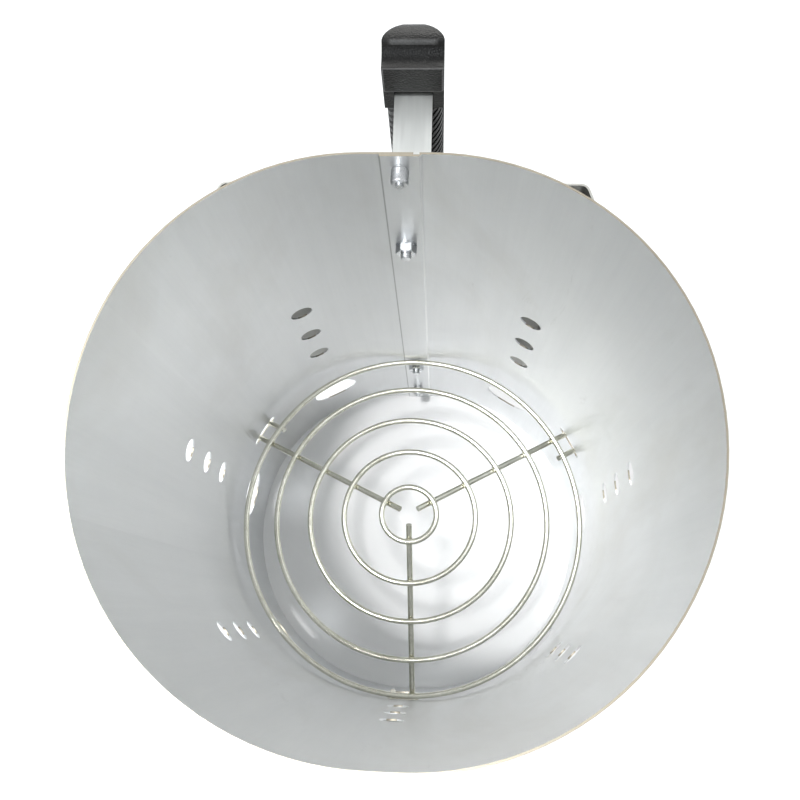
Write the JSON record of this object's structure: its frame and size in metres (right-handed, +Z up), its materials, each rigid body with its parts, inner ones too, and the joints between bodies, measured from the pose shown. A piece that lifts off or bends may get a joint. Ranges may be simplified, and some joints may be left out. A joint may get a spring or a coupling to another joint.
{
  "type": "charcoal chimney starter",
  "caption": "Sheet-steel charcoal chimney starter: open cylinder with air holes, cone wire grate, strap handle with ribbed plastic grip, heat shield and a hinged wire bail.",
  "frame": {"origin": "centre of the bounding box at the bottom, on the plane of the bottom rim; the cylinder's axis stands 43.2 mm to the -Y side of it", "axes": "+Z up along the cylinder, +Y from the cylinder to the handle, +X across the handle"},
  "size_m": [0.2064, 0.2882, 0.305],
  "materials": {
    "wall_steel": "satin zinc-coated sheet",
    "shield_steel": "satin zinc-coated sheet",
    "strap_steel": "zinc-coated flat bar",
    "grate_wire": "bright zinc with a yellowish tint",
    "bail_wire": "bright zinc",
    "fasteners": "bright zinc plating",
    "rivets": "bright",
    "grip_plastic": "fine grained black"
  },
  "bodies": {
    "starter": {"body_shell": "wall_steel", "heat_shield": "shield_steel", "handle_strap": "strap_steel", "grip_palm_half": "grip_plastic", "grip_finger_half": "grip_plastic", "grip_screws": "fasteners", "strap_screws": "fasteners", "lock_washers": "fasteners", "hex_nuts": "fasteners", "seam_rivets": "rivets", "rivet_mandrels": "fasteners"},
    "grate": {"grate_ring_1": "grate_wire", "grate_ring_2": "grate_wire", "grate_ring_3": "grate_wire", "grate_ring_4": "grate_wire", "grate_ring_5": "grate_wire", "grate_spoke_right": "grate_wire", "grate_spoke_left": "grate_wire", "grate_spoke_front": "grate_wire"},
    "bail": {"bail_wire": "bail_wire", "bail_retainers": "fasteners"}
  },
  "joints": [
    {"name": "grate_turn", "type": "hinge", "parent": "starter", "child": "grate", "pos_m": [0, -0.0462, 0.085], "axis": [0, 0, 1], "range_deg": [-1.45, 1.45]},
    {"name": "bail_swing", "type": "hinge", "parent": "starter", "child": "bail", "pos_m": [0, 0.0374, 0.245], "axis": [-1, 0, 0], "range_deg": [0, 150]}
  ]
}
